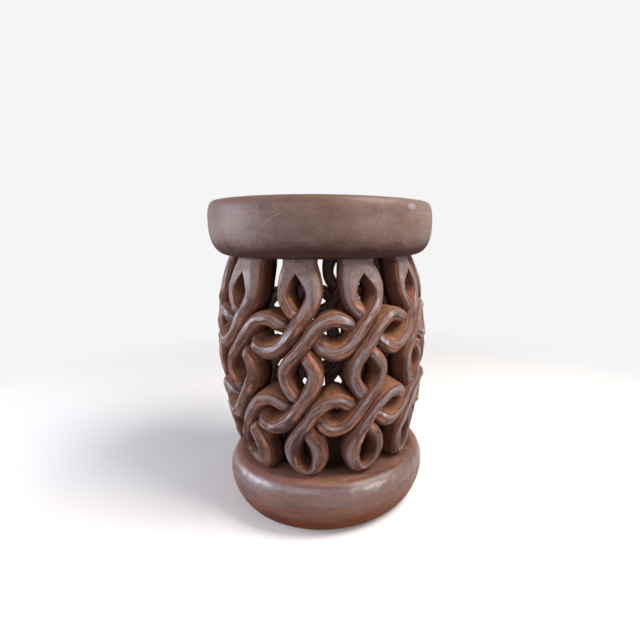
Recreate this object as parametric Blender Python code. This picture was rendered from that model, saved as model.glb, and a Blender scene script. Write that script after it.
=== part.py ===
"""A round wooden stool: a thick seat and a swelling base, held apart by a pierced wall
of carved interlace. The wall is a barrel of strands that cross over and under each other
on two levels. Metres, +Z up, the middle of the underside at the origin, the viewer's
side of the stool towards -Y."""

import math

import bmesh
import bpy
from mathutils import Vector
from mathutils.geometry import interpolate_bezier

# Sizes of the whole stool
overall_height = 0.418
seat_thickness = 0.070
base_height = 0.077

# Sizes of the seat
seat_radius = 0.149
seat_top_round_width = 0.012
seat_top_round_height = 0.028
seat_under_round_height = 0.040
seat_top_fullness = 3.0
seat_under_fullness = 2.0

# Sizes of the base
base_radius = 0.138
foot_radius = 0.108
base_bulge_height = 0.050
base_foot_fullness = 1.7
base_crest_fullness = 2.5
floor_dish_depth = 0.018
floor_dish_round = 0.010

# Sizes of the pierced wall, measured to its outer face
belly_radius = 0.1436
neck_radius = 0.1225
waist_radius = 0.1206
wall_depth = 0.030
belly_height_share = 0.53
upper_fullness = 2.7
lower_fullness = 1.75

# The columns of eyes: the bearing of each from the viewer's side, as spaced by the carver's
# eye, and how far its foot leans round from there, both in degrees
column_bearings = (-41, -6, 28, 62, 99, 137, 175, 206, 240, 280)
foot_leans = (4, 1, 1, 0, 0, 0, 0, 0, 0, 0)

# Heights on the wall, as shares of the distance from the base to the seat
top_eye_share = 0.866
eye_tip_share = 0.945
upper_crossing_share = 0.680
middle_eye_share = 0.512
lower_crossing_share = 0.322
bottom_eye_share = 0.125

# Sizes of the strands
strand_width = 0.0175
stem_width = 0.037
leg_width = 0.018
foot_width = 0.012
top_eye_width = 0.015
middle_eye_width = 0.0165
bottom_eye_width = 0.018
wide_eye_height = 0.0225
strand_bevel = 0.0035
strand_crown_share = 0.5
crossing_slope = math.radians(55)
overlap_depth = 0.008
inward_flare = 0.002

# Spaces between neighbours that touch on the real stool
clearance = 0.0003
overlap_clearance = 0.0006
pair_gap = 0.0018
seam_gap = 0.0006
arc_margin = 0.003
eye_margin = 0.009
overlap_run = 0.014

# Woods: red, green and blue, and roughness
seat_color = (0.125, 0.072, 0.055)
seat_roughness = 0.5
base_color = (0.120, 0.058, 0.040)
base_roughness = 0.4
strand_color = (0.135, 0.075, 0.058)
strand_roughness = 0.45

# Fineness of the meshes
round_steps = 48
outline_steps = 6
bend_steps = 6
stem_steps = 4
sharp_angle = math.radians(35)

# Places worked out from the sizes
seat_underside = overall_height - seat_thickness
wall_height = seat_underside - base_height
pair_pitch = strand_width + pair_gap
top_eye_side = (top_eye_width + strand_width) / 2
middle_eye_side = (middle_eye_width + strand_width) / 2
bottom_eye_side = (bottom_eye_width + leg_width) / 2
wide_eye_rise = (wide_eye_height + strand_width) / 2
stem_strand_width = (stem_width - seam_gap) / 2
stem_side = (stem_strand_width + seam_gap) / 2
arc_reach = (pair_pitch + strand_width) / 2 / math.sin(2 * crossing_slope) + arc_margin
eye_reach = arc_reach + eye_margin
up = math.radians(90)
down = -up
right = 0
left = math.radians(180)



def clear_scene():
    """Leave the scene empty."""
    for old in list(bpy.data.objects):
        bpy.data.objects.remove(old, do_unlink=True)


def wood(name, color, roughness):
    """Stained and waxed wood."""
    material = bpy.data.materials.new(name + "_wood")
    material.use_nodes = True
    shader = material.node_tree.nodes["Principled BSDF"]
    shader.inputs["Base Color"].default_value = (*color, 1)
    shader.inputs["Roughness"].default_value = roughness
    shader.inputs["Metallic"].default_value = 0
    return material


def add_piece(name, mesh_data, color, roughness):
    """Put a finished bmesh into the scene as a named piece with its own wood."""
    bmesh.ops.recalc_face_normals(mesh_data, faces=mesh_data.faces)
    mesh = bpy.data.meshes.new(name)
    mesh_data.to_mesh(mesh)
    mesh_data.free()
    mesh.shade_smooth()
    mesh.set_sharp_from_angle(angle=sharp_angle)
    mesh.materials.append(wood(name, color, roughness))
    piece = bpy.data.objects.new(name, mesh)
    bpy.context.scene.collection.objects.link(piece)
    return piece


def quarter_round(inner, outer, start, end, fullness, steps):
    """Outline points from (inner, start) swelling out to (outer, end), ends included.
    A fullness of 2 is a quarter ellipse; more is squarer, less is flatter."""
    points = []
    for step in range(steps + 1):
        angle = step / steps * up
        reach = math.sin(angle) ** (2 / fullness)
        lag = math.cos(angle) ** (2 / fullness)
        points.append((inner + (outer - inner) * reach, end + (start - end) * lag))
    return points


def turned(name, outline, color, roughness):
    """A piece turned round the Z axis from its outline, which starts and ends on the axis."""
    mesh_data = bmesh.new()
    corners = [mesh_data.verts.new((radius, 0, height)) for radius, height in outline]
    edges = [mesh_data.edges.new(pair) for pair in zip(corners, corners[1:])]
    bmesh.ops.spin(
        mesh_data,
        geom=corners + edges,
        cent=(0, 0, 0),
        axis=(0, 0, 1),
        angle=2 * left,
        steps=round_steps,
        use_merge=True,
    )
    bmesh.ops.remove_doubles(mesh_data, verts=mesh_data.verts, dist=clearance / 10)
    return add_piece(name, mesh_data, color, roughness)


def make_seat():
    """The thick round seat: a wide soft round below, a tighter one round the flat top."""
    under_round_top = seat_underside + seat_under_round_height
    top_round_start = overall_height - seat_top_round_height
    lower = quarter_round(neck_radius, seat_radius, seat_underside, under_round_top,
                          seat_under_fullness, outline_steps)
    upper = quarter_round(seat_radius - seat_top_round_width, seat_radius, overall_height,
                          top_round_start, seat_top_fullness, outline_steps)
    outline = [(0, seat_underside)] + lower + upper[::-1] + [(0, overall_height)]
    return turned("seat", outline, seat_color, seat_roughness)


def make_base():
    """The swelling base ring with its flat underside and the hollowed floor inside the wall."""
    dish_radius = waist_radius - wall_depth
    dish_floor = base_height - floor_dish_depth
    lower = quarter_round(foot_radius, base_radius, 0, base_bulge_height, base_foot_fullness, outline_steps)
    upper = quarter_round(waist_radius, base_radius, base_height, base_bulge_height,
                          base_crest_fullness, outline_steps)
    dish = [(dish_radius, base_height), (dish_radius - floor_dish_round, dish_floor)]
    outline = [(0, 0)] + lower + upper[::-1] + dish + [(0, dish_floor)]
    return turned("base", outline, base_color, base_roughness)


def wall_level(share):
    """Height of a share of the way up the pierced wall."""
    return base_height + wall_height * share


def wall_radius(height):
    """Radius of the wall's barrel-shaped outer face."""
    share = (height - base_height) / wall_height
    if share > belly_height_share:
        away = (share - belly_height_share) / (1 - belly_height_share)
        return belly_radius - (belly_radius - neck_radius) * away ** upper_fullness
    away = (belly_height_share - share) / belly_height_share
    return belly_radius - (belly_radius - waist_radius) * away ** lower_fullness


def widen(height):
    """How much wider a real width becomes when it is drawn on the unrolled wall, whose
    whole height is laid out at the belly's length."""
    return belly_radius / wall_radius(height)


def wall_point(along, height, depth):
    """Point of the wall: a place along the unrolled wall, a height and a depth in from the
    outer face."""
    height = min(max(height, base_height + clearance), seat_underside - clearance)
    angle = along / belly_radius
    radius = wall_radius(height) - depth
    return Vector((radius * math.sin(angle), -radius * math.cos(angle), height))


class Knot:
    """A place that a strand's middle line passes, at a distance to one side of a column, with
    its heading and width there. A lap of 1 passes over its neighbours at a crossing, -1
    passes under them, and 0 is no crossing. An arc is the middle of a wide eye's edge."""

    def __init__(self, column, sideways, height, heading, width=strand_width, lap=0, arc=0):
        self.place = Vector((column + sideways * widen(height), height, 0))
        self.heading = heading
        self.width = width
        self.lap = lap
        self.arc = arc


def direction(heading):
    """Unit step on the unrolled wall."""
    return Vector((math.cos(heading), math.sin(heading), 0))


def bend(start, end, steps):
    """Points of the smooth curve between two knots, without the last one. Its handles are
    those of a circle's or an ellipse's arc that turns through the same angle."""
    chord = end.place - start.place
    leave = direction(start.heading)
    arrive = direction(end.heading)
    turn = leave.angle(arrive)
    handle_share = 4 / 3 * math.tan(turn / 4) / math.sin(turn) if turn else 1 / 3
    leave_handle = start.place + leave * chord.dot(leave) * handle_share
    arrive_handle = end.place - arrive * chord.dot(arrive) * handle_share
    return interpolate_bezier(start.place, leave_handle, arrive_handle, end.place, steps + 1)[:-1]


def stations(knots, closed):
    """Evenly spread stations along a strand: the place, width and flare of each, how far it
    is inside a crossing from 0 to 1, and whether it passes over there or under."""
    spans = list(zip(knots, knots[1:] + knots[:1]))
    if not closed:
        spans.pop()
    drawn = []
    crossings = []
    travelled = 0
    for start, end in spans:
        if start.lap:
            crossings.append((travelled, start.lap, end.arc))
        steps = bend_steps if start.lap or end.lap else stem_steps
        points = bend(start, end, steps)
        for step, point in enumerate(points):
            share = step / steps
            width = start.width + (end.width - start.width) * share
            arc = start.arc + (end.arc - start.arc) * share
            drawn.append((point, width, arc, travelled))
            following = points[step + 1] if step + 1 < steps else end.place
            travelled += (following - point).length
    if not closed:
        drawn.append((knots[-1].place, knots[-1].width, knots[-1].arc, travelled))
    found = []
    for point, width, arc, place in drawn:
        strength, lap = max(
            (lap_strength(place - crossing, arc_ahead, travelled if closed else 0), lap)
            for crossing, lap, arc_ahead in crossings
        )
        found.append((point, width, inward_flare * arc * (1 - strength), strength, lap))
    return found


def lap_strength(distance, arc_ahead, round_length):
    """1 inside a crossing, falling smoothly to 0 beyond it. The strands part slowly towards
    a narrow eye and quickly towards the arc of a wide one."""
    if round_length:
        distance = (distance + round_length / 2) % round_length - round_length / 2
    towards_arc = (distance > 0) == bool(arc_ahead)
    reach = arc_reach if towards_arc else eye_reach
    share = min(max((abs(distance) - reach) / overlap_run, 0), 1)
    return 1 - share * share * (3 - 2 * share)


def carve_strand(name, knots, closed):
    """One strand of the wall: bevelled outer face, straight sides, flat inner face. Passing
    over, it keeps the outer part of the wall's depth; passing under, it keeps the inner part."""
    mesh_data = bmesh.new()
    laid = stations(knots, closed)
    loops = []
    for place, (point, width, flare, strength, lap) in enumerate(laid):
        before = laid[place - 1][0] if closed or place else point
        after = laid[(place + 1) % len(laid)][0] if closed or place + 1 < len(laid) else point
        if closed or (place and place + 1 < len(laid)):
            ahead = (after - before).normalized()
        else:
            end_knot = knots[0] if place == 0 else knots[-1]
            ahead = direction(end_knot.heading)
        side = Vector((-ahead.y, ahead.x, 0))
        face = (overlap_depth + overlap_clearance) * strength if lap < 0 else 0
        back = wall_depth - (wall_depth - overlap_depth) * strength if lap > 0 else wall_depth
        half = width / 2
        wide = half + flare
        section = (
            (-wide, back),
            (-half, face + strand_bevel),
            (-half * strand_crown_share, face),
            (half * strand_crown_share, face),
            (half, face + strand_bevel),
            (wide, back),
        )
        loop = []
        for offset, depth in section:
            rise = point.y + side.y * offset
            along = point.x + side.x * offset * widen(point.y)
            loop.append(mesh_data.verts.new(wall_point(along, rise, depth)))
        loops.append(loop)
    pairs = list(zip(loops, loops[1:] + loops[:1]))
    if not closed:
        pairs.pop()
        mesh_data.faces.new(loops[0])
        mesh_data.faces.new(loops[-1][::-1])
    for near, far in pairs:
        for corner in range(len(near)):
            following = (corner + 1) % len(near)
            mesh_data.faces.new((near[corner], near[following], far[following], far[corner]))
    return add_piece(name, mesh_data, strand_color, strand_roughness)


def crossing_knot(column, height, sideways, upwards, heading):
    """A strand's place in a crossing, beside its parallel neighbour. Strands that rise to
    the right pass over, strands that fall to the right pass under."""
    aside = sideways * math.sin(crossing_slope) * pair_pitch / 2
    rise = upwards * math.cos(crossing_slope) * pair_pitch / 2
    lap = 1 if math.sin(2 * heading) > 0 else -1
    return Knot(column, aside, height + rise, heading, lap=lap)


def upper_strand(near, far):
    """From the seat down past one column, under the wide eye between, and back up to the seat."""
    crossing = wall_level(upper_crossing_share)
    middle = (near + far) / 2
    return [
        Knot(near, -stem_side, seat_underside, down, stem_strand_width),
        Knot(near, -stem_side, wall_level(eye_tip_share), down, stem_strand_width),
        Knot(near, -top_eye_side, wall_level(top_eye_share), down),
        crossing_knot(near, crossing, 1, 1, -crossing_slope),
        Knot(middle, 0, crossing - wide_eye_rise, right, arc=1),
        crossing_knot(far, crossing, -1, 1, crossing_slope),
        Knot(far, top_eye_side, wall_level(top_eye_share), up),
        Knot(far, stem_side, wall_level(eye_tip_share), up, stem_strand_width),
        Knot(far, stem_side, seat_underside, up, stem_strand_width),
    ]


def middle_ring(near, far):
    """A closed ring round two columns: over the upper wide eye and under the lower one."""
    upper = wall_level(upper_crossing_share)
    lower = wall_level(lower_crossing_share)
    eye = wall_level(middle_eye_share)
    middle = (near + far) / 2
    return [
        Knot(near, -middle_eye_side, eye, up),
        crossing_knot(near, upper, 1, -1, crossing_slope),
        Knot(middle, 0, upper + wide_eye_rise, right, arc=1),
        crossing_knot(far, upper, -1, -1, -crossing_slope),
        Knot(far, middle_eye_side, eye, down),
        crossing_knot(far, lower, -1, 1, left + crossing_slope),
        Knot(middle, 0, lower - wide_eye_rise, left, arc=1),
        crossing_knot(near, lower, 1, 1, left - crossing_slope),
    ]


def lower_strand(near, far, near_foot, far_foot):
    """From the base up past one column, over the wide eye between, and back down to the base."""
    crossing = wall_level(lower_crossing_share)
    middle = (near + far) / 2
    foot = base_height + foot_width / 2
    return [
        Knot(near_foot, -seam_gap / 2, foot, left, foot_width),
        Knot(near_foot, -bottom_eye_side, wall_level(bottom_eye_share), up, leg_width),
        crossing_knot(near, crossing, 1, -1, crossing_slope),
        Knot(middle, 0, crossing + wide_eye_rise, right, arc=1),
        crossing_knot(far, crossing, -1, -1, -crossing_slope),
        Knot(far_foot, bottom_eye_side, wall_level(bottom_eye_share), down, leg_width),
        Knot(far_foot, seam_gap / 2, foot, left, foot_width),
    ]


def make_wall():
    """All the strands of the pierced wall, one of each kind between neighbouring columns."""
    columns = [math.radians(bearing) * belly_radius for bearing in column_bearings]
    feet = [column + math.radians(lean) * belly_radius for column, lean in zip(columns, foot_leans)]
    once_round = 2 * math.pi * belly_radius
    columns.append(columns[0] + once_round)
    feet.append(feet[0] + once_round)
    for place in range(1, len(columns)):
        near, far = columns[place - 1], columns[place]
        carve_strand(f"upper_strand_{place:02d}", upper_strand(near, far), False)
        carve_strand(f"middle_ring_{place:02d}", middle_ring(near, far), True)
        lower = lower_strand(near, far, feet[place - 1], feet[place])
        carve_strand(f"lower_strand_{place:02d}", lower, False)


clear_scene()
make_seat()
make_base()
make_wall()
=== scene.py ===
# %% [markdown]
# # A carved stool of interlaced wood
#
# The real stool is one log: a thick round seat and a swelling round base, and between them a
# pierced wall that is carved to look like strands running over and under each other. This
# lesson dresses the imported model of it: each carved member gets a finer mesh and a wood that
# is worn where hands and feet rub it. The imported model gives the stool's height and width;
# the other sizes are set in the cells below.

import math

import bmesh
import bpy
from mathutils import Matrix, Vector, noise
from mathutils.geometry import interpolate_bezier


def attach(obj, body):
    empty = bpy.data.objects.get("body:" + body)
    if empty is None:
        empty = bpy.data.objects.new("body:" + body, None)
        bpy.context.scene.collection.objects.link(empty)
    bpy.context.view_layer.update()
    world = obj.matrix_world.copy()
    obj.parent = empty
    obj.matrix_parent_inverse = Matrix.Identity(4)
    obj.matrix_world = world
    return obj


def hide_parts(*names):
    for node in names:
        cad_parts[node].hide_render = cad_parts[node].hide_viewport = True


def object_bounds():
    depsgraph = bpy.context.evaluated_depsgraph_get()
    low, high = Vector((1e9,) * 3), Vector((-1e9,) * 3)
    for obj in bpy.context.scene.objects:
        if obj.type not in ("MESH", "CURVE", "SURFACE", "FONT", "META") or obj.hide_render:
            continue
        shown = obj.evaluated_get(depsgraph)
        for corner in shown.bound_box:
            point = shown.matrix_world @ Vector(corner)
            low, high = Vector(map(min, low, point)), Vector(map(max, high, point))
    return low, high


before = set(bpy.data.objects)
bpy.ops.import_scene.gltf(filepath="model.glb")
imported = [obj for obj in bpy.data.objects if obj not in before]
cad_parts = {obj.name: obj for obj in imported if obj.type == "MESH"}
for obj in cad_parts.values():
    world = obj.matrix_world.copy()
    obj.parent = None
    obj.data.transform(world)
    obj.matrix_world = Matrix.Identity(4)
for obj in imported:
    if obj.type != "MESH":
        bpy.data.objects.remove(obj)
cad_low, cad_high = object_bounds()
overall_height = cad_high.z
seat_radius = cad_high.x
print(f"the stool stands {overall_height:.3f} m high and {2 * seat_radius:.3f} m across")

# %% [markdown]
# ## The camera
#
# The photograph was taken close up with a wide lens, from a little above the seat, and then
# trimmed so that the stool came to the middle. A camera that is turned to look straight at
# the stool would bend its upright lines another way, so the trimming is given as a lens
# shift: the camera keeps looking ahead and the frame slides sideways over the picture.

# %% Place the camera
camera_place = (0.0661, -0.6417, 0.3857)
camera_tilt = math.radians(11.6)
camera_lens = 25.99
camera_film = 36
frame_shift = -0.0789

camera = bpy.data.objects.new("camera", bpy.data.cameras.new("camera"))
camera.location = camera_place
camera.rotation_euler = (math.radians(90) - camera_tilt, 0, 0)
camera.data.sensor_width = camera_film
camera.data.lens = camera_lens
camera.data.shift_x = frame_shift
bpy.context.scene.collection.objects.link(camera)
bpy.context.scene.camera = camera
print(f"the camera looks down by {math.degrees(camera_tilt):.1f} degrees")

# %% [markdown]
# ## Shader sums
#
# A wood here is a long sum: stain, times grain, plus wear on the ridges, and so on. Written
# with single nodes that takes pages, so a small class wraps a socket and lets Python's own
# signs add the Math nodes. Any other node comes from its one method `add`.

# %% A socket that can stand in a sum
# Where a Mix node has its mask, its two colours and its result.
mix_mask, mix_below, mix_above, mix_result = 0, 6, 7, 2


class Value:
    """A socket of a material's nodes, ready to stand in a sum."""

    def __init__(self, socket):
        self.socket = socket

    def add(self, kind, settings, sockets, output=0):
        """A new node of a kind, with its settings made before its sockets are filled."""
        node = self.socket.id_data.nodes.new("ShaderNode" + kind)
        for name, setting in settings.items():
            setattr(node, name, setting)
        for place, value in sockets.items():
            if isinstance(value, Value):
                node.id_data.links.new(value.socket, node.inputs[place])
            else:
                node.inputs[place].default_value = value
        return Value(node.outputs[output])

    def math(self, operation, *others):
        """A Math node on this value and the others."""
        return self.add("Math", {"operation": operation}, dict(enumerate((self, *others))))

    def __add__(self, other):
        return self.math("ADD", other)

    def __sub__(self, other):
        return self.math("SUBTRACT", other)

    def __rsub__(self, other):
        return self * -1 + other

    def __mul__(self, other):
        return self.math("MULTIPLY", other)

    def __truediv__(self, other):
        return self.math("DIVIDE", other)

    __radd__ = __add__
    __rmul__ = __mul__

    def between(self, low, high):
        """0 at low and below, 1 at high and above, smooth between."""
        sockets = {"Value": self, "From Min": low, "From Max": high}
        return self.add("MapRange", {"interpolation_type": "SMOOTHSTEP"}, sockets)

    def paint(self, below, above):
        """Two colours, mixed by this value as a mask."""
        sockets = {mix_mask: self}
        for place, color in ((mix_below, below), (mix_above, above)):
            sockets[place] = color if isinstance(color, Value) else (*color, 1)
        return self.add("Mix", {"data_type": "RGBA"}, sockets, mix_result)

    def tint(self, mask, dark, light, strength):
        """This colour, multiplied by a dark tint where a mask is 0 and a light one at 1."""
        sockets = {mix_mask: strength, mix_below: self, mix_above: mask.paint(dark, light)}
        settings = {"data_type": "RGBA", "blend_type": "MULTIPLY"}
        return self.add("Mix", settings, sockets, mix_result)

    def part(self, axis):
        """One number of this place or direction: 0 along X, 1 along Y, 2 upwards."""
        return self.add("SeparateXYZ", {}, {0: self}, output=axis)

    def carried(self, name):
        """A number that the mesh's points carry under a name."""
        return self.add("Attribute", {"attribute_name": name}, {}, output=2)

    def stretch(self, scale):
        """This place, measured with another step along each axis."""
        return self.add("VectorMath", {"operation": "MULTIPLY"}, {0: self, 1: scale})

    def speckle(self, scale, detail=3, roughness=0.55):
        """Noise round this place, from 0 to 1."""
        sockets = {"Vector": self, "Scale": scale, "Detail": detail, "Roughness": roughness}
        return self.add("TexNoise", {}, sockets)


def new_wood(name):
    """An empty wood: the material, its shader node and the place on the object."""
    wood = bpy.data.materials.new(name)
    wood.use_nodes = True
    nodes = wood.node_tree.nodes
    shader = nodes["Principled BSDF"]
    place = Value(nodes.new("ShaderNodeTexCoord").outputs["Object"])
    return wood, shader, place


def coat(color, *stains):
    """A colour under coats of stain, each with the mask that says where it lies."""
    for mask, stain in stains:
        color = mask.paint(color, stain)
    return color


def finish_wood(shader, color, roughness, height, depth, shine, wax, wax_haze, wax_gloss=1.5):
    """Feed the shader with a colour, a roughness, a height that the light catches, and a
    layer of wax, which shines more the further its gloss is above 1."""
    links = shader.id_data.links
    shader.inputs["Specular IOR Level"].default_value = shine
    shader.inputs["Coat Roughness"].default_value = wax_haze
    shader.inputs["Coat IOR"].default_value = wax_gloss
    links.new(wax.socket, shader.inputs["Coat Weight"])
    links.new(color.socket, shader.inputs["Base Color"])
    links.new(roughness.socket, shader.inputs["Roughness"])
    bump = height.add("Bump", {}, {"Height": height, "Strength": 1, "Distance": depth})
    links.new(bump.socket, shader.inputs["Normal"])


print("the helpers for shader sums are ready")

# %% [markdown]
# ## The shape of the wall
#
# The wall is a barrel. It is easiest to draw unrolled, as a flat strip with a distance along
# it and a height up it, and to roll up each point afterwards. A width that is drawn at the
# belly's length shrinks where the barrel is narrower, so widths are widened first. The
# greater the fullness of a half, the longer it stays wide on its way to the neck or waist.

# %% Sizes of the wall
seat_thickness = 0.070
base_height = 0.077
belly_radius = 0.1436
neck_radius = 0.1225
waist_radius = 0.1206
wall_depth = 0.030
belly_height_share = 0.53
upper_fullness = 2.7
lower_fullness = 1.75

seat_underside = overall_height - seat_thickness
wall_height = seat_underside - base_height


def wall_level(share):
    """Height of a share of the way up the wall."""
    return base_height + wall_height * share


def wall_radius(height):
    """Radius of the wall's barrel-shaped outer face."""
    share = (height - base_height) / wall_height
    if share > belly_height_share:
        away = (min(share, 1) - belly_height_share) / (1 - belly_height_share)
        return belly_radius - (belly_radius - neck_radius) * away ** upper_fullness
    away = (belly_height_share - max(share, 0)) / belly_height_share
    return belly_radius - (belly_radius - waist_radius) * away ** lower_fullness


def widen(height):
    """How much wider a real width is drawn on the unrolled wall."""
    return belly_radius / wall_radius(height)


def roll_up(along, height, depth):
    """Point of the wall at a depth in from its outer face."""
    angle = along / belly_radius
    radius = wall_radius(height) - depth
    return Vector((radius * math.sin(angle), -radius * math.cos(angle), height))


print(f"the wall is {wall_height:.3f} m high and swells to {belly_radius:.4f} m")

# %% [markdown]
# ## The knots
#
# Ten columns of eyes stand round the wall. Each strand is a smooth curve through a few knots:
# beside an eye, through a crossing, over the middle of a wide eye. The spacing is uneven,
# because the carver set it out by eye, and the front columns lean, so that their feet stand
# a little aside.

# %% Places and widths of the strands
column_count = 10

# Each row goes from the left front column round the stool and ends with that column again.
column_bearings = (-41, -6, 28, 62, 99, 137, 173.5, 206, 240, 280, 319)
foot_leans = (4, 1, 1, 0, 0, 0, 0, 0, 0, 0, 4)
foot_widths = (0.022, 0.012, 0.012, 0.012, 0.012, 0.012, 0.018, 0.018, 0.012, 0.012, 0.022)
bottom_eye_shares = (0.125, 0.125, 0.125, 0.14, 0.15, 0.16, 0.19, 0.19, 0.16, 0.14, 0.125)
columns = [math.radians(bearing) * belly_radius for bearing in column_bearings]
feet = [column + math.radians(lean) * belly_radius for column, lean in zip(columns, foot_leans)]

# The other levels, as shares of the way up the wall, are the same all round.
top_eye_share = 0.866
eye_tip_share = 0.967
upper_crossing_share = 0.680
middle_eye_share = 0.512
lower_crossing_share = 0.322

strand_width = 0.0175
wide_eye_height = 0.0225
crossing_slope = math.radians(55)
pair_gap = 0.0018

pair_pitch = strand_width + pair_gap
wide_eye_rise = (wide_eye_height + strand_width) / 2
covered_reach = (pair_pitch + strand_width) / 2 / math.sin(2 * crossing_slope)
up = math.radians(90)
down = -up
right = 0
left = math.radians(180)
print(f"{column_count} columns, and pairs of strands {pair_pitch:.4f} m from line to line")

# %% [markdown]
# A knot holds more than a place. The strand's width, the cut flanks of its face and the
# spread of its walls also change from knot to knot, so they go along with it as traits.

# %% A knot of a strand
# Widths of a face's cut flank: on a strand's free side, at an eye and beside its pair.
flank_width = 0.0036
eye_flank = 0.0026
pair_flank = 0.0042
pair_fill = 0.0008


class Knot:
    """A place on a strand's middle line: its heading and width, whether it passes over (1) or
    under (-1) its neighbours there, how far its inner wall spreads on each hand, how wide
    the cut flanks of its face are on each hand, and how much its left edge is joined."""

    def __init__(self, column, sideways, height, heading, width=strand_width, lap=0,
                 spread=(0, 0), flanks=(flank_width, flank_width), join=0):
        self.place = Vector((column + sideways * widen(height), height, 0))
        self.heading = heading
        self.traits = Vector((width, *spread, *flanks, join))
        self.lap = lap


def direction(heading):
    """Unit step on the unrolled wall."""
    return Vector((math.cos(heading), math.sin(heading), 0))


def crossing(column, height, sideways, upwards, heading):
    """A strand's place in a crossing, beside its parallel neighbour. Strands that rise to
    the right pass over, strands that fall to the right pass under."""
    aside = sideways * math.sin(crossing_slope) * pair_pitch / 2
    rise = upwards * math.cos(crossing_slope) * pair_pitch / 2
    lap = 1 if math.sin(2 * heading) > 0 else -1
    neighbour_on_right = rise * math.cos(heading) > aside * math.sin(heading)
    flanks = (flank_width, pair_flank) if neighbour_on_right else (pair_flank, flank_width)
    return Knot(column, aside, height + rise, heading, lap=lap, spread=(pair_fill, pair_fill),
                flanks=flanks)


print(f"a crossing hides a strand for {2 * covered_reach:.3f} m")

# %% [markdown]
# The openings narrow inwards, because a knife reaches the outer edge of a hole more easily
# than its inner edge. The sills that face up are cut the most: they slope like a windowsill.
# No two eyes are alike, so where the photograph shows one well its widths are measured.

# %% Eyes and sills
deep_sill = 0.009
shallow_sill = 0.001
soffit = 0.0015
eye_spread = 0.004
tip_lean = math.radians(31)

# Across a column in millimetres: the left strand's outer edge and its rim at the eye, then
# the right strand's rim and outer edge. In the stem the two strands overlap a little, so
# that no line of light parts them.
millimetres = 1000
usual_eyes = {
    "stem": (-19.5, 2, -2, 19.5),
    "top": (-26, -10, 10, 26),
    "middle": (-27, -10.5, 10.5, 27),
    "bottom": (-26, -9.5, 9.5, 26),
}
measured_eyes = {
    (0, "stem"): (-25, 1, -3, 25),
    (0, "top"): (-32, -18, 6, 30),
    (0, "middle"): (-33, -19, 13, 32),
    (0, "bottom"): (-33, -21, -5, 22),
    (1, "stem"): (-23.5, -2, -6, 18.5),
    (1, "top"): (-27.5, -14.5, 6.5, 27.5),
    (1, "middle"): (-29, -14, 8, 29),
    (1, "bottom"): (-31, -13.5, 6, 27.5),
    (2, "stem"): (-27, 0, -4, 19),
    (2, "top"): (-30.5, -11, 11, 27),
    (2, "middle"): (-29, -11, 13, 29),
    (2, "bottom"): (-31, -6.5, 14, 29),
    (3, "top"): (-27, -13, 12, 27),
    (6, "stem"): (-25, 2, -2, 24),
    (6, "top"): (-29, -5, 11, 30),
    (6, "middle"): (-27, -8, 5, 27),
    (6, "bottom"): (-27, -11, 12, 30),
    (7, "bottom"): (-31, -17, 8, 27),
}


def beside(column, band, hand, height, heading, flanks, **traits):
    """A strand's place on one hand of a column's eye, or in its stem. The strand that
    passes on the left heads down at the top of the wall, the one on the right heads up."""
    plan = measured_eyes.get((column % column_count, band), usual_eyes[band])
    start, end = plan[:2] if hand < 0 else plan[2:]
    sideways = (start + end) / 2 / millimetres
    width = (end - start) / millimetres
    base_line = feet if band == "bottom" else columns
    return Knot(base_line[column], sideways, height, heading, width, flanks=flanks, **traits)


print(len(measured_eyes), "places round the wall have measured widths")

# %% [markdown]
# Three kinds of strand make the whole pattern. One hangs from the seat, one is a closed ring
# and one stands on the base, and each kind is repeated from column to column.

# %% The three kinds of strand
def upper_strand(near, far):
    """From the seat down past one column, under the wide eye, and back up to the seat."""
    level = wall_level(upper_crossing_share)
    tip = wall_level(eye_tip_share)
    eye = wall_level(top_eye_share)
    middle = (columns[near] + columns[far]) / 2
    cuts = (eye_flank, flank_width)
    inwards = (eye_spread, 0)
    stem = (0, flank_width)
    sill = (deep_sill, soffit)
    return [
        beside(near, "stem", -1, seat_underside, down, stem, join=1),
        beside(near, "stem", -1, tip, down - tip_lean, stem, join=1),
        beside(near, "top", -1, eye, down, cuts, spread=inwards),
        crossing(columns[near], level, 1, 1, -crossing_slope),
        Knot(middle, 0, level - wide_eye_rise, right, spread=sill, flanks=cuts),
        crossing(columns[far], level, -1, 1, crossing_slope),
        beside(far, "top", 1, eye, up, cuts, spread=inwards),
        beside(far, "stem", 1, tip, up + tip_lean, stem, join=1),
        beside(far, "stem", 1, seat_underside, up, stem, join=1),
    ]


def middle_ring(near, far):
    """A closed ring round two columns: over the upper wide eye and under the lower one."""
    upper = wall_level(upper_crossing_share)
    lower = wall_level(lower_crossing_share)
    eye = wall_level(middle_eye_share)
    middle = (columns[near] + columns[far]) / 2
    cuts = (flank_width, eye_flank)
    inwards = (0, eye_spread)
    top_sill, low_sill = (shallow_sill, soffit), (soffit, deep_sill)
    return [
        crossing(columns[far], upper, -1, -1, -crossing_slope),
        beside(far, "middle", 1, eye, down, cuts, spread=inwards),
        crossing(columns[far], lower, -1, 1, left + crossing_slope),
        Knot(middle, 0, lower - wide_eye_rise, left, spread=low_sill, flanks=cuts),
        crossing(columns[near], lower, 1, 1, left - crossing_slope),
        beside(near, "middle", -1, eye, up, cuts, spread=inwards),
        crossing(columns[near], upper, 1, -1, crossing_slope),
        Knot(middle, 0, upper + wide_eye_rise, right, spread=top_sill, flanks=cuts),
    ]


def foot_knot(column, flanks):
    """The bottom of a column's loop, where it stands on the base."""
    width = foot_widths[column]
    return Knot(feet[column], 0, base_height + width / 2, left, width, flanks=flanks)


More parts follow.
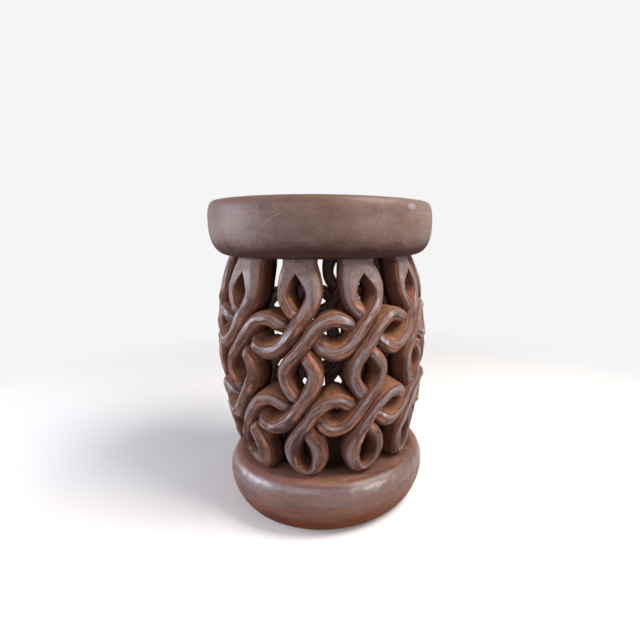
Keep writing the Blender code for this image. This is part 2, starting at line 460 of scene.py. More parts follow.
def lower_strand(near, far):
    """From the base up past one column, over the wide eye, and back down to the base."""
    level = wall_level(lower_crossing_share)
    near_eye = wall_level(bottom_eye_shares[near])
    far_eye = wall_level(bottom_eye_shares[far])
    middle = (columns[near] + columns[far]) / 2
    cuts = (flank_width, eye_flank)
    inwards = (0, eye_spread)
    sill = (deep_sill, soffit)
    return [
        foot_knot(near, cuts),
        beside(near, "bottom", -1, near_eye, up, cuts, spread=inwards),
        crossing(columns[near], level, 1, -1, crossing_slope),
        Knot(middle, 0, level + wide_eye_rise, right, spread=sill, flanks=cuts),
        crossing(columns[far], level, -1, -1, -crossing_slope),
        beside(far, "bottom", 1, far_eye, down, cuts, spread=inwards),
        foot_knot(far, cuts),
    ]


print("a middle ring is drawn through", len(middle_ring(0, 1)), "knots")

# %% [markdown]
# ## A strand as a mesh
#
# A curve object with a bevel would give every strand the same round section. The real ones
# have a soft ridge along the outer face, corners that are rounded over, and straight walls
# that go deep into the barrel, so the section is laid out and carried along the strand's
# line. The line comes first, cut into even steps.

# %% Walk along a strand
station_length = 0.0028
bezier_steps = 24


def line_through(knots, closed):
    """Closely spaced points of the smooth line through the knots, each with its distance
    from the start and its traits, and the places of the crossings."""
    spans = list(zip(knots, knots[1:] + knots[:1]))
    if not closed:
        spans.pop()
    points = []
    crossings = []
    travelled = 0
    for start, end in spans:
        if start.lap:
            crossings.append((travelled, start.lap))
        chord = end.place - start.place
        leave = direction(start.heading)
        arrive = direction(end.heading)
        turn = leave.angle(arrive)
        # Handles of this length keep the curve close to an arc of a circle.
        share = 4 / 3 * math.tan(turn / 4) / math.sin(turn) if turn else 1 / 3
        curve = interpolate_bezier(
            start.place,
            start.place + leave * chord.dot(leave) * share,
            end.place - arrive * chord.dot(arrive) * share,
            end.place,
            bezier_steps + 1,
        )
        for step in range(bezier_steps):
            traits = start.traits.lerp(end.traits, step / bezier_steps)
            points.append((travelled, curve[step], traits))
            travelled += (curve[step + 1] - curve[step]).length
    points.append((travelled, spans[-1][1].place, spans[-1][1].traits))
    return points, crossings


def walk(points):
    """Evenly spaced stations along a line of points: distance, place and traits."""
    whole = points[-1][0]
    count = round(whole / station_length)
    stations = []
    place = 0
    for step in range(count + 1):
        target = whole * step / count
        while place < len(points) - 2 and points[place + 1][0] < target:
            place += 1
        start, end = points[place], points[place + 1]
        share = (target - start[0]) / (end[0] - start[0])
        stations.append((target, start[1].lerp(end[1], share), start[2].lerp(end[2], share)))
    return stations


line, crossings = line_through(lower_strand(0, 1), False)
print(f"a lower strand is {line[-1][0]:.3f} m long, in {len(walk(line))} stations")

# %% [markdown]
# Where a strand passes under its neighbours its face sinks, quickly and just before the
# neighbour's edge. Everywhere the knife has left its cuts: the ridge and the rims run
# straight from one notch to the next, and no two notches are equally deep.

# %% Sink and notch a strand
sink_depth = 0.0092
sink_run = 0.012
# Just over 1, which keeps whole numbers off the borders of the noise's cells.
cell_scale = 1.01


def buried(distance):
    """1 inside a crossing, falling smoothly to 0 beyond the neighbour's edge."""
    share = min(max((abs(distance) - covered_reach + sink_run / 3) / sink_run, 0), 1)
    return 1 - share * share * (3 - 2 * share)


def crossing_at(distance, crossings, whole, closed):
    """How far a place is buried in a crossing, and if it passes over (1) or under (-1)."""
    strength, lap = 0, 0
    for centre, kind in crossings:
        gap = distance - centre
        if closed:
            gap = (gap + whole / 2) % whole - whole / 2
        if buried(gap) > strength:
            strength, lap = buried(gap), kind
    return strength, lap


def knife_cut(notches, count, lane):
    """Height between two notches of the knife, 0 to 1: straight from one to the next."""
    notch = math.floor(notches)
    here = noise.cell(Vector((notch % count, lane, count)) * cell_scale)
    after = noise.cell(Vector(((notch + 1) % count, lane, count)) * cell_scale)
    return here + (after - here) * (notches - notch)


print(f"a strand sinks {sink_depth:.4f} m where it passes under")

# %% [markdown]
# A section is a row of points with the face in the middle. On each hand the cut flank bends
# down from the face's rim, and the wall goes on from there straight to the back.

# %% Lay out a section
ridge_round = 0.05
flank_fall = 1.2
flank_bulge = 0.25
ridge_shares = (-1, -0.93, -0.8, -0.55, -0.3, -0.12, -0.04, 0.04, 0.12, 0.3, 0.55, 0.8, 0.93, 1)
flank_shares = (0.12, 0.5, 0.88, 1)
wall_shares = (0.05, 0.25, 0.5, 0.75, 0.95, 1)


def section(width, spreads, flanks, joined, ridge, falls, cuts, sunk, back):
    """Points round one section, from the right-hand back corner over the face to the left.
    Each has its offset, its depth and its share across, which passes 1 at the face's rims.
    The face is a low roof, and the knife has lowered its ridge and rims unevenly."""
    half = width / 2
    rims = (half - flanks[0], half - flanks[1])
    points = []
    for from_ridge in ridge_shares:
        share = ridge + from_ridge * (1 - ridge if from_ridge > 0 else 1 + ridge)
        fall = math.hypot(from_ridge, ridge_round) - ridge_round
        fall *= falls[0 if from_ridge > 0 else 1]
        rim_cut = cuts[0] if share > 0 else cuts[2]
        fall += cuts[1] + (rim_cut - cuts[1]) * abs(from_ridge)
        if share > 0:
            fall *= 1 - joined
            from_ridge *= 1 - joined
        points.append((share * rims[0 if share > 0 else 1], sunk + fall, from_ridge))
    for place, hand in enumerate((1, -1)):
        rim_depth = points[-1][1] if hand > 0 else points[0][1]
        flank_depth = flanks[place] * flank_fall
        corner_depth = rim_depth + flank_depth
        edge = []
        for share in flank_shares:
            bulge = share + flank_bulge * share * (1 - share)
            offset = hand * (rims[place] + flanks[place] * bulge)
            edge.append((offset, rim_depth + flank_depth * share, hand * (1 + share)))
        for share in wall_shares:
            offset = hand * (half + spreads[place] * share)
            edge.append((offset, corner_depth + (back - corner_depth) * share, hand * 2))
        points = points + edge if hand > 0 else edge[::-1] + points
    return points


print("a section has", len(ridge_shares) + 2 * len(flank_shares + wall_shares), "points")

# %% [markdown]
# The ridge of a real strand lies towards its upper left side, and its face falls further on
# the other side. Slow noise lets the strand wander, and fine noise roughens its skin. Each
# point carries three numbers for the wood to read: its depth in the wall, its share across
# the strand and its distance along it.

# %% Carve a strand
uphill = Vector((-0.6, 0.8, 0))
uphill_fall = 0.0012
downhill_fall = 0.0038
ridge_shift = 0.18
ridge_wander = 0.4
cut_length = 0.013
cut_depth = 0.0011
knife_wander = 0.0009
wander_scale = 28
width_scale = 45
width_start = Vector((5, 5, 5))
knife_depth = 0.0004
nick_scale = 90
back_step = 0.0015
grain_apart = 7
lane_apart = 10
sharp_angle = math.radians(50)


def step_at(stations, place, knots, closed):
    """Unit step along the strand at one of its stations."""
    if not closed and place in (0, len(stations) - 1):
        return direction(knots[0 if place == 0 else -1].heading)
    following = stations[(place + 1) % len(stations)][1]
    return (following - stations[place - 1][1]).normalized()


def join_rings(mesh_data, rings, closed):
    """Faces from each ring of points to the next, and over the ends of an open strand."""
    pairs = list(zip(rings, rings[1:] + rings[:1]))
    if not closed:
        pairs.pop()
        mesh_data.faces.new(rings[0])
        mesh_data.faces.new(rings[-1][::-1])
    for near, far in pairs:
        for corner in range(len(near)):
            after = (corner + 1) % len(near)
            mesh_data.faces.new((near[corner], near[after], far[after], far[corner]))


def add_piece(name, mesh_data, wood):
    """Put a finished mesh into the scene as a smooth piece."""
    bmesh.ops.recalc_face_normals(mesh_data, faces=mesh_data.faces)
    mesh = bpy.data.meshes.new(name)
    mesh_data.to_mesh(mesh)
    mesh_data.free()
    mesh.shade_smooth()
    mesh.set_sharp_from_angle(angle=sharp_angle)
    mesh.materials.append(wood)
    piece = bpy.data.objects.new(name, mesh)
    bpy.context.scene.collection.objects.link(piece)
    return piece


def carve(name, knots, closed):
    """The finer mesh of one strand."""
    points, crossings = line_through(knots, closed)
    stations = walk(points)
    whole = points[-1][0]
    cut_count = round(whole / cut_length)
    grain_start = knots[0].place.x * grain_apart
    lane = grain_start * lane_apart
    mesh_data = bmesh.new()
    layers = mesh_data.verts.layers.float
    depth_layer, across_layer, along_layer = map(layers.new, ("depth", "across", "along"))
    if closed:
        stations.pop()
    rings = []
    for place, (distance, point, traits) in enumerate(stations):
        width, left_spread, right_spread, left_flank, right_flank, joined = traits
        ahead = step_at(stations, place, knots, closed)
        side = Vector((-ahead.y, ahead.x, 0))
        strength, lap = crossing_at(distance, crossings, whole, closed)
        sunk = sink_depth * strength if lap < 0 else 0
        back = wall_depth - (back_step if lap > 0 else 0) * strength
        seed = roll_up(point.x, point.y, 0)
        calm = 1 - joined
        wander = noise.noise(seed * wander_scale) * knife_wander * calm
        width += noise.noise(seed * width_scale + width_start) * knife_wander * calm
        notches = distance / whole * cut_count
        lean = side.dot(uphill)
        ridge = ridge_shift * lean
        ridge += ridge_wander * (knife_cut(notches, cut_count, lane + 3) - 0.5)
        falls = [(uphill_fall + downhill_fall + hand * lean * (uphill_fall - downhill_fall)) / 2
                 for hand in (1, -1)]
        cuts = [cut_depth * knife_cut(notches + line / 3, cut_count, lane + line) * calm
                for line in range(3)]
        ring = []
        for offset, depth, share in section(
            width, (left_spread, right_spread), (left_flank, right_flank), joined,
            ridge * calm, falls, cuts, sunk, back,
        ):
            rise = point.y + side.y * (offset + wander)
            along = point.x + side.x * (offset + wander) * widen(point.y)
            nick = noise.noise(roll_up(along, rise, depth) * nick_scale) * knife_depth * calm
            vert = mesh_data.verts.new(roll_up(along, rise, depth + knife_depth * calm + nick))
            vert[depth_layer] = depth - sunk
            vert[across_layer] = share if ahead.x + ahead.y > 0 else -share
            vert[along_layer] = distance + grain_start
            ring.append(vert)
        rings.append(ring)
    join_rings(mesh_data, rings, closed)
    return add_piece(name, mesh_data, strand_wood)


print(f"the knife's cuts are {cut_length:.3f} m long and up to {cut_depth:.4f} m deep")

# %% [markdown]
# ## The wood of the strands
#
# The stain is a dark brown, but the outer faces show what use does to it: the ridge is
# rubbed to a grey polish, and on the upper left side that grey is also a painted cool
# sheen; patches beside it are worn through to orange wood, and the stems near the seat are
# a duller grey. The walls of the openings are raw ochre. Those that face up, the sills, stay
# light ochre, which is painted light from above, and darken deeper in; the side walls go
# from red to a nearly black brown deep inside. Both darkenings are painted shade. Each of
# these is a mask from the point's depth and its share across the strand. The grain follows
# the strand, so its noise is read from the numbers that the points carry.

# %% Grain and wear of the strands
share_length = 0.006
stem_from = 0.292
stem_to = 0.325

strand_wood, shader, place = new_wood("strand_wood_fine")
depth, across, along = (place.carried(name) for name in ("depth", "across", "along"))
upward = place.add("NewGeometry", {}, {}, output=1).part(2)
laid = place.add("CombineXYZ", {}, {0: along, 1: across * share_length, 2: depth})
broad = place.speckle(22)
patches = place.speckle(60, detail=4)
mottle = place.speckle(230, detail=5, roughness=0.7)
wear = laid.stretch((36, 150, 60)).speckle(1, detail=6, roughness=0.65)
blotch = laid.stretch((34, 110, 60)).speckle(1, detail=5, roughness=0.6)
sheen = laid.stretch((38, 300, 120)).speckle(1, detail=4, roughness=0.6)
fibres = laid.stretch((160, 1100, 500)).speckle(1, detail=3)
specks = place.speckle(900, detail=2)

side = across.math("ABSOLUTE")
off_face = side.between(0.95, 1.3)
wandering = across + (patches - 0.5) * 1.6
# Upper left side of the face: rubbed to a grey polish, and its grey is also a painted cool sheen.
polish_and_painted_sheen = wandering.between(-0.15, 0.50) * sheen.between(0.38, 0.58)
floor_side = 1 - wandering.between(-0.75, 0.05)
stem = (place.part(2) + (patches - 0.5) * 0.030).between(stem_from, stem_to)
print("the strands' grain and wear are", len(strand_wood.node_tree.nodes), "nodes")

# %% Stain the strands
strand_brown = (0.165, 0.084, 0.064)
strand_dark = (0.062, 0.030, 0.025)
polish_grey_and_painted_sheen = (0.166, 0.137, 0.147)
worn_orange = (0.425, 0.173, 0.108)
stem_grey = (0.162, 0.122, 0.118)
flank_red = (0.105, 0.043, 0.030)
cut_ochre = (0.268, 0.122, 0.067)
wall_red = (0.135, 0.054, 0.035)
sill_brown_painted_light_and_shade = (0.185, 0.084, 0.053)
painted_deep_shade = (0.006, 0.003, 0.002)

face = coat(
    strand_dark,
    ((blotch + broad * 0.5).between(0.58, 0.86), strand_brown),
    (polish_and_painted_sheen * 0.9, polish_grey_and_painted_sheen),
    (floor_side * wear.between(0.45, 0.65) * 0.9, worn_orange),
    (wear.between(0.59, 0.74) * 0.65, worn_orange),
    (stem * 0.7, stem_grey),
)
flank = coat(
    flank_red,
    (wear.between(0.52, 0.70) * 0.25, worn_orange),
    # flanks that face up are painted lighter: partly dust, partly painted light from above
    (upward.between(0.2, 0.8) * 0.5, sill_brown_painted_light_and_shade),
    (broad.between(0.5, 0.65) * 0.5, strand_dark),
)
side_wall = coat(
    flank_red,
    (patches.between(0.42, 0.62) * 0.3, cut_ochre),
    (depth.between(0.006, 0.015), wall_red),
    # deep inside, the side walls are painted near black: painted shade
    (depth.between(0.019, 0.028), painted_deep_shade),
)
# The sill's ochre darkens deeper into the opening: painted shade.
sill = coat(cut_ochre, (depth.between(0.007, 0.024), sill_brown_painted_light_and_shade))
wall = coat(
    side_wall,
    # walls that look up keep the light sill colour: raw ochre wood, with painted light from above
    (upward.between(0.15, 0.60), sill),
    (patches.between(0.45, 0.70) * 0.5, flank_red),
    # deeper in, and on the inner face at the back, painted shade down to near black
    (depth.between(0.022, 0.029) * 0.7, painted_deep_shade),
    (depth.between(0.029, 0.0298), painted_deep_shade),
)
color = coat(face, (side.between(1.0, 1.5), flank), (side.between(1.6, 2.0), wall))
color = color.tint(fibres.between(0.25, 0.75), (0.66, 0.63, 0.61), (1.18, 1.16, 1.14), 0.8)
color = color.tint(mottle.between(0.30, 0.68), (0.76, 0.74, 0.73), (1.16, 1.13, 1.10), 0.8)
color = color.tint(specks.between(0.30, 0.42), (0.5, 0.48, 0.46), (1, 1, 1), 0.4)
roughness = 0.36 + off_face * 0.26 - polish_and_painted_sheen * 0.08 + mottle * 0.12
height = patches * 0.5 + mottle * 0.25 + fibres * 0.2 + specks * 0.05
wax = (1 - off_face) * (polish_and_painted_sheen * 0.6 + 0.15)
finish_wood(shader, color, roughness, height, 0.0010, shine=0.1, wax=wax, wax_haze=0.30)
print("the strands' wood has", len(strand_wood.node_tree.nodes), "nodes")

# %% [markdown]
# ## Carve the wall
#
# One strand of each kind starts at every column, thirty in all. Each stands for the strand
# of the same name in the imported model.

# %% Carve thirty strands
strands = []
for near in range(column_count):
    far = near + 1
    for kind, knots, closed in (
        ("upper_strand", upper_strand(near, far), False),
        ("middle_ring", middle_ring(near, far), True),
        ("lower_strand", lower_strand(near, far), False),
    ):
        node = f"{kind}_{far:02d}"
        strand = carve("carved_" + node, knots, closed)
        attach(strand, "root")
        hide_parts(node)
        strands.append(strand)
print(len(strands), "strands with", sum(len(strand.data.polygons) for strand in strands), "faces")

# %% [markdown]
# ## Turned pieces
#
# The seat and the base are round, so each is an outline carried round the axis. The outline
# has many points, and each point is moved in a little by slow noise, because the real ones
# were shaped with an adze and a scraper, not on a lathe.

# %% Turn an outline
round_steps = 288
chip_scale = 75


def quarter_round(inner, outer, start, end, fullness, steps):
    """Outline points from (inner, start) swelling out to (outer, end), ends included."""
    points = []
    for step in range(steps + 1):
        angle = step / steps * up
        reach = math.sin(angle) ** (2 / fullness)
        lag = math.cos(angle) ** (2 / fullness)
        points.append((inner + (outer - inner) * reach, end + (start - end) * lag))
    return points


def refine(outline, step_length):
    """The outline with more points on its long stretches."""
    fine = [outline[0]]
    for start, end in zip(outline, outline[1:]):
        pieces = max(1, math.ceil(math.dist(start, end) / step_length))
        for step in range(1, pieces + 1):
            share = step / pieces
            radius = start[0] + (end[0] - start[0]) * share
            fine.append((radius, start[1] + (end[1] - start[1]) * share))
    return fine


def turn_piece(name, outline, wood, unevenness, scale, chips, off_centre, side_drop=0):
    """A piece turned round the Z axis from its outline, which starts and ends on the axis.
    Points off the axis move in by slow noise, and by chips a few millimetres wide. The whole
    piece sits a little off centre, and its top may drop towards the sides."""
    mesh_data = bmesh.new()
    first = mesh_data.verts.new((0, 0, outline[0][1]))
    last = mesh_data.verts.new((0, 0, outline[-1][1]))
    rings = []
    for radius, height in outline[1:-1]:
        ring = []
        for turn in range(round_steps):
            angle = turn / round_steps * 2 * math.pi
            spot = Vector((radius * math.sin(angle), -radius * math.cos(angle), height))
            dent = unevenness * (0.5 + 0.5 * noise.noise(spot * scale))
            dent += chips * abs(noise.noise(spot * chip_scale)) * 2
            shrink = 1 - dent / seat_radius
            drop = side_drop * (spot.x / seat_radius) ** 2 if height > overall_height / 2 else 0
            drop *= (height - seat_underside) / seat_thickness
            ring.append(mesh_data.verts.new((
                spot.x * shrink + off_centre, spot.y * shrink, height - drop)))
        rings.append(ring)
    for turn in range(round_steps):
        after = (turn + 1) % round_steps
        mesh_data.faces.new((first, rings[0][after], rings[0][turn]))
        mesh_data.faces.new((last, rings[-1][turn], rings[-1][after]))
        for inner, outer in zip(rings, rings[1:]):
            mesh_data.faces.new((inner[turn], inner[after], outer[after], outer[turn]))
    return add_piece(name, mesh_data, wood)


print("an outline is turned in", round_steps, "steps")

# %% [markdown]
# ## The seat
#
# The seat is a thick slab with a tight round at its flat top and a wide soft round below. Its
# stain is dull and even, redder and darker at the top edge, with faint level streaks from the
# scraper. Below, it is painted almost black, which is painted shade under the seat.

# %% Grain of the seat
seat_wood, shader, place = new_wood("seat_wood_fine")
x, y, z = (place.part(axis) for axis in range(3))
around = x.math("ARCTAN2", y * -1)
broad = place.speckle(9)
cloud = place.stretch((1, 1, 1.8)).speckle(32, detail=5, roughness=0.6)
mottle = place.speckle(190, detail=5, roughness=0.7)
streaks = place.stretch((9, 9, 190)).speckle(1, detail=5, roughness=0.7)
fine_streaks = place.stretch((34, 34, 1100)).speckle(1, detail=3)
pits = place.speckle(420, detail=2)
# The seat's underside, painted almost black: painted shade under the seat.
under = 1 - (z + (cloud - 0.5) * 0.016).between(seat_underside + 0.005, seat_underside + 0.027)
crown = (z + (cloud - 0.5) * 0.010).between(overall_height - 0.022, overall_height - 0.004)
print("the seat's grain is", len(seat_wood.node_tree.nodes), "nodes")

# %% [markdown]
# Use has left marks on the seat's edge: a few patches of short parallel strokes, one long
# curved scratch and a greyish spot. Each is a mask round its own bearing and height.

# %% Marks on the seat
scratch_length = 0.0247
scratch_rise = 0.016


def beside_mark(bearing, height):
    """Distances from a mark on the seat's edge: along the edge and up it."""
    return (around - math.radians(bearing)) * seat_radius, z - height


def strokes(bearing, height, size, lean, pitch):
    """A patch of short parallel knife strokes with a lean, broken up by the grain."""
    lean = math.radians(lean)
    aside, above = beside_mark(bearing, height)
    far = (aside * aside + above * above * 1.6).math("SQRT")
    inside = 1 - (far + (mottle - 0.5) * 0.006).between(size * 0.7, size)
    wave = ((aside * math.cos(lean) + above * math.sin(lean)) * (2 * math.pi / pitch)).math("SINE")
    return inside * wave.between(0.1, 0.7) * cloud.between(0.2, 0.4)


# Bearing, height, size, lean in degrees and pitch of each patch.
dark_strokes = (
    strokes(29, 0.4005, 0.0120, 12, 0.0026)
    + strokes(36, 0.4045, 0.0060, -50, 0.0020) * 0.7
    + strokes(-17.5, 0.4050, 0.0095, 28, 0.0026)
)
pale_strokes = strokes(-15.5, 0.4040, 0.0105, -32, 0.0034)
aside, above = beside_mark(-20.6, 0.381)
way = aside / scratch_length
arc = above - (1 - (1 - way) * (1 - way)) * scratch_rise
scratch = (1 - arc.math("ABSOLUTE").between(0.0002, 0.0008)) * way.between(-0.02, 0.08)
scratch = scratch * (1 - way.between(0.92, 1.02)) * mottle.between(0.25, 0.5)
aside, above = beside_mark(50.8, 0.407)
smudge_reach = (aside * aside * 0.3 + above * above * 1.6).math("SQRT")
smudge = 1 - (smudge_reach + (mottle - 0.5) * 0.007).between(0.0025, 0.0055)
print(f"the scratch is {scratch_length:.3f} m long")

# %% Stain the seat
seat_brown = (0.130, 0.078, 0.064)
seat_dark = (0.084, 0.044, 0.034)
seat_olive = (0.161, 0.116, 0.099)
seat_red = (0.215, 0.092, 0.055)
seat_pale = (0.300, 0.215, 0.185)
seat_under_shade = (0.030, 0.008, 0.005)
spot_blue = (0.200, 0.240, 0.290)
stroke_brown = (0.050, 0.028, 0.022)

# The underside's painted shade, broken by streaks.
under_shade_tone = coat(seat_under_shade, (streaks.between(0.45, 0.65) * 0.5, seat_dark))
bare_streaks = (1 - fine_streaks.between(0.25, 0.45)) * cloud.between(0.4, 0.6)
color = coat(
    seat_brown,
    (cloud.between(0.36, 0.64), seat_olive),
    (broad.between(0.44, 0.62) * 0.7, seat_dark),
    (streaks.between(0.50, 0.68) * 0.4, seat_red),
    (crown * streaks.between(0.42, 0.60) * 0.45, seat_red),
    (crown * 0.45, seat_dark),
    (fine_streaks.between(0.55, 0.75) * 0.45, seat_dark),
    (bare_streaks * 0.18, seat_pale),
    (under * 0.9, under_shade_tone),
    (pale_strokes * 0.22, seat_pale),
    (dark_strokes.between(0, 1) * 0.75, stroke_brown),
    (scratch * 0.45, seat_pale),
    (smudge * 0.6, spot_blue),
)
color = color.tint(mottle.between(0.30, 0.70), (0.84, 0.83, 0.83), (1.12, 1.11, 1.10), 0.9)
color = color.tint(pits.between(0.22, 0.34), (0.55, 0.50, 0.48), (1, 1, 1), 0.6)
roughness = 0.40 + cloud * 0.14 + streaks * 0.08 + mottle * 0.10 + under * 0.30
height = streaks * 0.4 + fine_streaks * 0.15 + cloud * 0.5 + mottle * 0.2
height = height - scratch * 0.25 - dark_strokes * 0.2
wax = (1 - under) * 0.25
finish_wood(shader, color, roughness, height, 0.0008, shine=0.15, wax=wax, wax_haze=0.4)
print("the seat's wood has", len(seat_wood.node_tree.nodes), "nodes")

# %% Turn the seat
seat_top_round_width = 0.012
seat_top_round_height = 0.028
seat_top_fullness = 3
seat_under_round_height = 0.040
seat_under_fullness = 2.3
seat_round_steps = 28
seat_step_length = 0.006
seat_off_centre = 0.001

seat_edge = seat_radius - seat_off_centre
lower = quarter_round(
    neck_radius, seat_edge, seat_underside, seat_underside + seat_under_round_height,
    seat_under_fullness, seat_round_steps,
)
upper = quarter_round(
    seat_edge - seat_top_round_width, seat_edge, overall_height,
    overall_height - seat_top_round_height, seat_top_fullness, seat_round_steps,
)
outline = [(0, seat_underside)] + lower + upper[::-1] + [(0, overall_height)]
seat = turn_piece(
    "carved_seat", refine(outline, seat_step_length), seat_wood,
    unevenness=0.0008, scale=14, chips=0, off_centre=seat_off_centre, side_drop=0.003,
)
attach(seat, "root")
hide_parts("seat")
print("the seat has", len(seat.data.polygons), "faces")

# %% [markdown]
# ## The base
#
# The base swells out like a cushion from a narrower foot, and its top is hollowed inside the
# wall. Its side is the glossiest part, rubbed by feet to a satin reddish brown. It is more
# orange near the floor and drier and paler on top, where painted light, most on the left,
# lifts the shade of the wall. The hollow is dull and painted dark, which is painted shade.

# %% Grain of the base
dish_radius = waist_radius - wall_depth

base_wood, shader, place = new_wood("base_wood_fine")
x, y, z = (place.part(axis) for axis in range(3))
broad = place.speckle(11)
cloud = place.stretch((1, 1, 2.5)).speckle(20, detail=4)
mottle = place.speckle(170, detail=5, roughness=0.7)
streaks = place.stretch((12, 12, 170)).speckle(1, detail=5, roughness=0.7)
fine_streaks = place.stretch((40, 40, 700)).speckle(1, detail=3)
facets = place.add("TexVoronoi", {"feature": "F1"}, {"Vector": place, "Scale": 95})
foot = 1 - (z + (cloud - 0.5) * 0.024).between(0.013, 0.070)
top = (z + (cloud - 0.5) * 0.006).between(base_height - 0.009, base_height - 0.001)
from_axis = (x * x + y * y).math("SQRT")
inside = 1 - from_axis.between(dish_radius - 0.002, dish_radius + 0.004)
# The left side of the base's top, where painted light lifts the wall's shade.
painted_light_left = 1 - (x + (cloud - 0.5) * 0.03).between(-0.050, 0.015)
print("the base's grain and wear are", len(base_wood.node_tree.nodes), "nodes")

# %% Stain the base
base_brown = (0.071, 0.030, 0.022)
base_grey = (0.090, 0.046, 0.041)
base_dark = (0.078, 0.032, 0.025)
base_orange = (0.185, 0.068, 0.040)
foot_orange = (0.215, 0.056, 0.016)
foot_dark = (0.115, 0.028, 0.010)
top_brown = (0.092, 0.041, 0.032)
top_ochre = (0.205, 0.104, 0.069)
top_painted_light = (0.235, 0.118, 0.095)
dish_shade_brown = (0.046, 0.022, 0.014)

streaky = streaks.between(0.40, 0.62)
foot_tone = coat(foot_dark, (streaky, foot_orange))
# The top's dry ochre streaks, with painted light on the left where the wall's shade falls.
top_tone = coat(top_brown, (streaky, top_ochre), (painted_light_left * 0.8, top_painted_light))
color = coat(
    base_brown,
    (cloud.between(0.30, 0.70), base_grey),
    (broad.between(0.45, 0.62) * 0.4, base_dark),
    (streaks.between(0.48, 0.68) * 0.35, base_orange),
    (foot, foot_tone),
    (top * 0.9, top_tone),
    # the hollow inside the wall is painted dark: painted shade
    (inside, dish_shade_brown),
    (fine_streaks.between(0.55, 0.75) * 0.4, base_dark),
)
color = color.tint(mottle.between(0.30, 0.70), (0.88, 0.87, 0.87), (1.09, 1.08, 1.07), 0.7)
roughness = 0.26 + cloud * 0.10 + mottle * 0.14 + top * 0.25 + foot * 0.15 + inside * 0.35
polish = streaks.between(0.30, 0.60) * 0.15 + mottle * 0.2 + 0.72
wax = (1 - top) * (1 - foot) * (1 - inside) * polish
height = streaks * 0.3 + cloud * 0.5 + mottle * 0.2 + top * facets * 0.4
finish_wood(shader, color, roughness, height, 0.0006, shine=0.04, wax=wax, wax_haze=0.38,
            wax_gloss=1.85)
print("the base's wood has", len(base_wood.node_tree.nodes), "nodes")

# %% Turn the base
base_radius = 0.139
foot_radius = 0.108
base_bulge_height = 0.050
foot_fullness = 1.7
shoulder_fullness = 2.2
floor_dish_depth = 0.018
floor_dish_round = 0.010
foot_steps = 30
shoulder_steps = 28
base_step_length = 0.003

dish_floor = base_height - floor_dish_depth
lower = quarter_round(foot_radius, base_radius, 0, base_bulge_height, foot_fullness, foot_steps)
upper = quarter_round(
    waist_radius, base_radius, base_height, base_bulge_height, shoulder_fullness,
    shoulder_steps,
)
dish = [(dish_radius, base_height), (dish_radius - floor_dish_round, dish_floor)]
outline = [(0, 0)] + lower + upper[::-1] + dish + [(0, dish_floor)]
base = turn_piece(
    "carved_base", refine(outline, base_step_length), base_wood,
    unevenness=0.0012, scale=16, chips=0.0006, off_centre=0.0022,
)
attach(base, "root")
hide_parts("base")
print("the base has", len(base.data.polygons), "faces")

# %% [markdown]
# ## The floor
#
# The stool stands on a plain pale floor that has no far edge: the floor's colour runs into
# the world's. The floor is pale to the eye only. For the light that it throws back at the
# stool it is much darker, which keeps the undersides deep.

# %% Lay the floor
backdrop = 0.913
floor_size = 30
floor_seen = (0.825, 0.805, 0.785)
floor_unseen = (0.22, 0.21, 0.20)
floor_glow = 0.015
fade_from = 0.5
fade_to = 1.15

floor_data = bmesh.new()
bmesh.ops.create_grid(floor_data, x_segments=1, y_segments=1, size=floor_size)
floor_mesh = bpy.data.meshes.new("floor")
floor_data.to_mesh(floor_mesh)
floor_data.free()
floor = bpy.data.objects.new("floor", floor_mesh)
bpy.context.scene.collection.objects.link(floor)


def seen_rays(nodes):
    """1 for the rays that show a surface to the camera, straight or by way of a polished or
    clear surface, and 0 for those that carry light on from it."""
    path = nodes.new("ShaderNodeLightPath")
    seen = Value(path.outputs["Is Camera Ray"])
    for kind in ("Is Glossy Ray", "Is Transmission Ray"):
        seen = seen.math("MAXIMUM", Value(path.outputs[kind]))
    return seen


floor_paint = bpy.data.materials.new("floor_paint")
floor_paint.use_nodes = True
nodes = floor_paint.node_tree.nodes
nodes.clear()
place = Value(nodes.new("ShaderNodeTexCoord").outputs["Object"])
away = place.add("VectorMath", {"operation": "LENGTH"}, {0: place}, output=1)
seen = seen_rays(nodes)
matt = place.add("BsdfDiffuse", {}, {"Color": seen.paint(floor_unseen, floor_seen)})
glow = place.add("Emission", {}, {"Color": (1, 1, 1, 1), "Strength": seen * floor_glow})
near_floor = place.add("AddShader", {}, {0: matt, 1: glow})
far_floor = place.add("Emission", {}, {"Color": (backdrop, backdrop, backdrop, 1)})
fade = away.between(fade_from, fade_to)
whole_floor = place.add("MixShader", {}, {0: fade, 1: near_floor, 2: far_floor})
output = nodes.new("ShaderNodeOutputMaterial")
floor_paint.node_tree.links.new(whole_floor.socket, output.inputs["Surface"])
floor_mesh.materials.append(floor_paint)
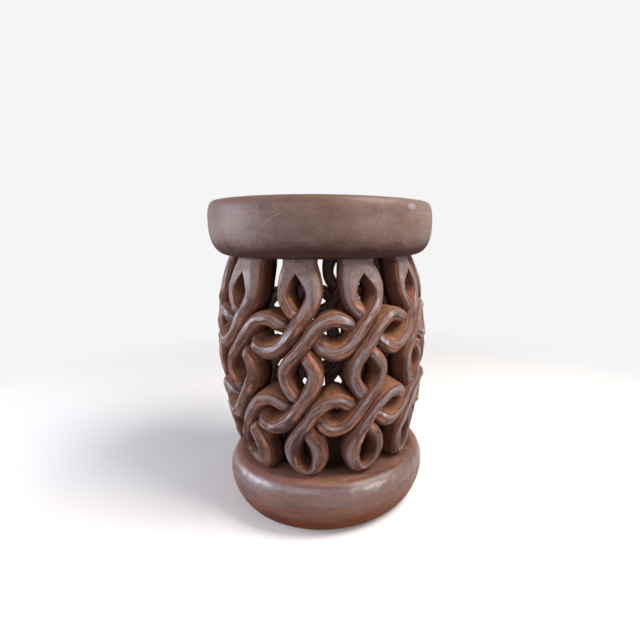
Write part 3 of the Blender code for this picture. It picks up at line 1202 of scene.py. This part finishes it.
print(f"the floor runs into the backdrop {fade_to} m from the stool")

# %% [markdown]
# ## The light
#
# A soft lamp high on the right throws the long shadow to the left, and a low window below it
# brightens the right side. A cool window on the left lays a sheen on the ridges, a weak lamp
# in front lifts the darks, and the pale world fills the rest.

# %% Light the stool
world_light = 0.19
lamp_distance = 1.6

world = bpy.data.worlds.new("pale_world")
world.use_nodes = True
nodes = world.node_tree.nodes
background = nodes["Background"]
strength = seen_rays(nodes) * (backdrop - world_light) + world_light
background.inputs["Color"].default_value = (1, 1, 1, 1)
world.node_tree.links.new(strength.socket, background.inputs["Strength"])
bpy.context.scene.world = world


def around_stool(bearing, climb):
    """A lamp's place at a bearing from the viewer's side and a climb, both in degrees."""
    turn, rise = math.radians(bearing), math.radians(climb)
    flat = lamp_distance * math.cos(rise)
    height = overall_height / 2 + lamp_distance * math.sin(rise)
    return Vector((flat * math.sin(turn), -flat * math.cos(turn), height))


def hang_lamp(name, place, aim, width, height, power, color):
    """A soft lamp of a width and a height that looks at a point."""
    lamp = bpy.data.lights.new(name, "AREA")
    lamp.shape = "RECTANGLE"
    lamp.size = width
    lamp.size_y = height
    lamp.energy = power
    lamp.color = color
    holder = bpy.data.objects.new(name, lamp)
    holder.location = place
    holder.rotation_euler = (aim - place).to_track_quat("-Z", "Y").to_euler()
    bpy.context.scene.collection.objects.link(holder)


stool_middle = Vector((0, 0, overall_height / 2))
# Name, bearing, climb, width, height, power and colour of each lamp.
lamps = (
    ("key_lamp", 69, 51, 0.85, 0.85, 38, (1, 0.97, 0.94)),
    ("right_window", 52, 7, 0.9, 0.2, 11.5, (1, 0.97, 0.95)),
    ("left_window", -80, 12, 1.1, 0.75, 27, (0.84, 0.85, 1)),
    ("front_lamp", -25, 22, 0.8, 0.8, 6, (0.97, 0.97, 1)),
)
for name, bearing, climb, *shape_and_light in lamps:
    hang_lamp(name, around_stool(bearing, climb), stool_middle, *shape_and_light)
bpy.context.scene.view_settings.view_transform = "Standard"
print(len(lamps), "lamps and a pale world light the stool")
